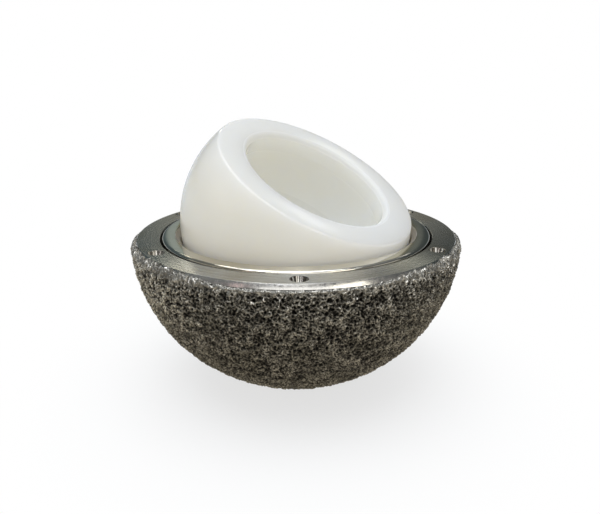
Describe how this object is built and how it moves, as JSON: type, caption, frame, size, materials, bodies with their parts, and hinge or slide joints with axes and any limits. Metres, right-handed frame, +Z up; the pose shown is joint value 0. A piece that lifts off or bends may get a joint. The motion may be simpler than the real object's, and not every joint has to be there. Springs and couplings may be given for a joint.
{
  "type": "acetabular cup",
  "caption": "Dual-mobility hip cup: porous-coated metal shell, polished metal liner and a white plastic ball insert that tilts in it and has a bore for a femoral head.",
  "frame": {"origin": "centre of the flat foot ring at the pole, on the surface that the cup stands on", "axes": "+Z up along the cup's turning axis, out of its mouth; -Y faces the viewer of the picture"},
  "size_m": [0.06, 0.06, 0.048],
  "materials": {
    "turned_titanium": "fine turned",
    "porous_titanium": "open metal foam",
    "polished_cobalt_chrome": "mirror polished",
    "polyethylene": "satin, milky and slightly translucent"
  },
  "bodies": {
    "cup": {"outer_shell": "turned_titanium", "porous_coating": "porous_titanium", "metal_liner": "polished_cobalt_chrome"},
    "insert": {"polyethylene_insert": "polyethylene"}
  },
  "joints": [
    {"name": "insert_tilt", "type": "hinge", "parent": "cup", "child": "insert", "pos_m": [0, 0, 0.03048], "axis": [0.524, 0.8517, 0], "range_deg": [-75, 15]}
  ]
}
